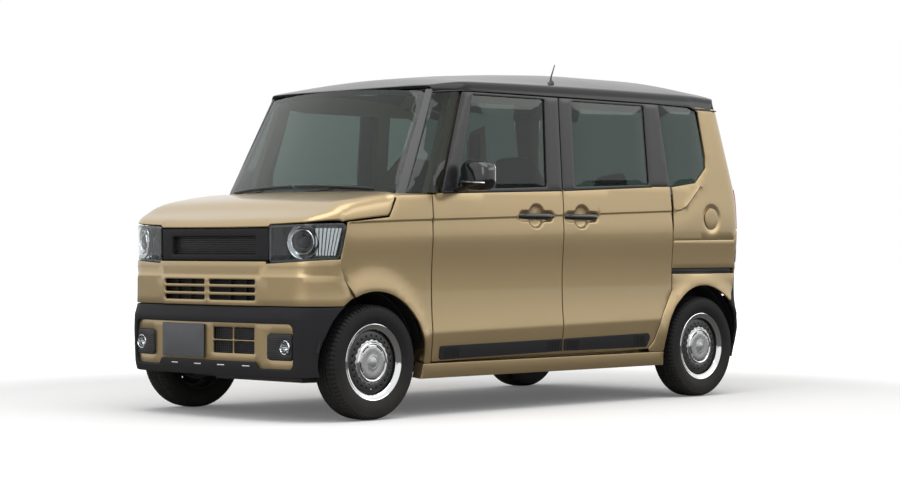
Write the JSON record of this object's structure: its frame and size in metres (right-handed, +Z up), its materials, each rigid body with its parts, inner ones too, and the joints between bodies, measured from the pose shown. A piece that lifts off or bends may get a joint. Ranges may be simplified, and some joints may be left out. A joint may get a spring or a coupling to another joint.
{
  "type": "kei car",
  "caption": "Tall box-shaped small passenger car with hinged front doors, fixed sliding rear doors, lifting bonnet and tailgate, steered front wheels and four free-rolling wheels.",
  "frame": {"origin": "on the ground under the middle of the overall length and width", "axes": "+X towards the car's front, +Y towards its left side, +Z up"},
  "size_m": [3.395, 1.88, 1.8031],
  "materials": {
    "paint": "warm beige metallic gloss",
    "roof_paint": "black gloss",
    "dark_plastic": "dark grey grained",
    "gloss_black": "black gloss",
    "glass": "tinted",
    "screen_glass": "light tint",
    "lamp_front": "clear lens",
    "lamp_rear": "red lens",
    "plate": "blank satin",
    "under_metal": "satin black",
    "cast": "raw",
    "rim": "silver and dark grey",
    "tyre": "matte",
    "interior": "grained",
    "seat": "woven"
  },
  "bodies": {
    "body": {"floor_pan": "under_metal", "firewall": "under_metal", "wheel_houses": "dark_plastic", "side_sills": "paint", "side_frames": "interior", "quarter_panels": "paint", "roof_panel": "roof_paint", "front_fenders": "paint", "a_pillars": "gloss_black", "front_bumper": "paint", "bumper_guard": "dark_plastic", "grille": "dark_plastic", "headlamps": "lamp_front", "windscreen": "screen_glass", "fixed_side_glass": "glass", "rear_doors": "paint", "rear_door_glass": "glass", "rear_bumper": "dark_plastic", "tail_lamps": "lamp_rear", "dashboard": "interior", "front_seats": "seat", "rear_seats": "seat", "engine": "cast", "front_subframe": "under_metal", "rear_axle": "under_metal", "fuel_tank": "dark_plastic", "exhaust": "cast", "aerial": "gloss_black", "number_plate_front": "plate"},
    "front_door_left": {"front_door_left": "paint", "front_door_glass_left": "glass", "mirror_left": "gloss_black"},
    "front_door_right": {"front_door_right": "paint", "front_door_glass_right": "glass", "mirror_right": "gloss_black"},
    "bonnet": {"bonnet": "paint"},
    "tailgate": {"tailgate": "paint", "tailgate_glass": "glass", "number_plate_rear": "plate"},
    "fuel_lid": {"fuel_lid": "paint"},
    "knuckle_left": {"knuckle_left": "cast"},
    "knuckle_right": {"knuckle_right": "cast"},
    "wheel_front_left": {"rim_front_left": "rim", "tyre_front_left": "tyre"},
    "wheel_front_right": {"rim_front_right": "rim", "tyre_front_right": "tyre"},
    "wheel_rear_left": {"rim_rear_left": "rim", "tyre_rear_left": "tyre"},
    "wheel_rear_right": {"rim_rear_right": "rim", "tyre_rear_right": "tyre"}
  },
  "joints": [
    {"name": "front_door_left_hinge", "type": "hinge", "parent": "body", "child": "front_door_left", "pos_m": [0.797, 0.714, 0.7], "axis": [0, 0, -1], "range_deg": [0, 66]},
    {"name": "front_door_right_hinge", "type": "hinge", "parent": "body", "child": "front_door_right", "pos_m": [0.797, -0.714, 0.7], "axis": [0, 0, 1], "range_deg": [0, 66]},
    {"name": "bonnet_hinge", "type": "hinge", "parent": "body", "child": "bonnet", "pos_m": [1.1, 0, 1.085], "axis": [0, -1, 0], "range_deg": [0, 50]},
    {"name": "tailgate_hinge", "type": "hinge", "parent": "body", "child": "tailgate", "pos_m": [-1.475, 0, 1.748], "axis": [0, 1, 0], "range_deg": [0, 80]},
    {"name": "fuel_lid_hinge", "type": "hinge", "parent": "body", "child": "fuel_lid", "pos_m": [-1.303, 0.7355, 0.99], "axis": [0, 0, -1], "range_deg": [0, 85]},
    {"name": "steer_left", "type": "hinge", "parent": "body", "child": "knuckle_left", "pos_m": [1.2375, 0.61, 0.2785], "axis": [0, 0, 1], "range_deg": [-36, 36]},
    {"name": "steer_right", "type": "hinge", "parent": "body", "child": "knuckle_right", "pos_m": [1.2375, -0.61, 0.2785], "axis": [0, 0, 1], "range_deg": [-36, 36]},
    {"name": "spin_front_left", "type": "hinge", "parent": "knuckle_left", "child": "wheel_front_left", "pos_m": [1.2375, 0.6525, 0.2785], "axis": [0, 1, 0], "continuous": true},
    {"name": "spin_front_right", "type": "hinge", "parent": "knuckle_right", "child": "wheel_front_right", "pos_m": [1.2375, -0.6525, 0.2785], "axis": [0, 1, 0], "continuous": true},
    {"name": "spin_rear_left", "type": "hinge", "parent": "body", "child": "wheel_rear_left", "pos_m": [-1.2825, 0.6525, 0.2785], "axis": [0, 1, 0], "continuous": true},
    {"name": "spin_rear_right", "type": "hinge", "parent": "body", "child": "wheel_rear_right", "pos_m": [-1.2825, -0.6525, 0.2785], "axis": [0, 1, 0], "continuous": true}
  ],
  "couplings": [
    {"joint": "steer_right", "follows": "steer_left", "ratio": 1}
  ]
}
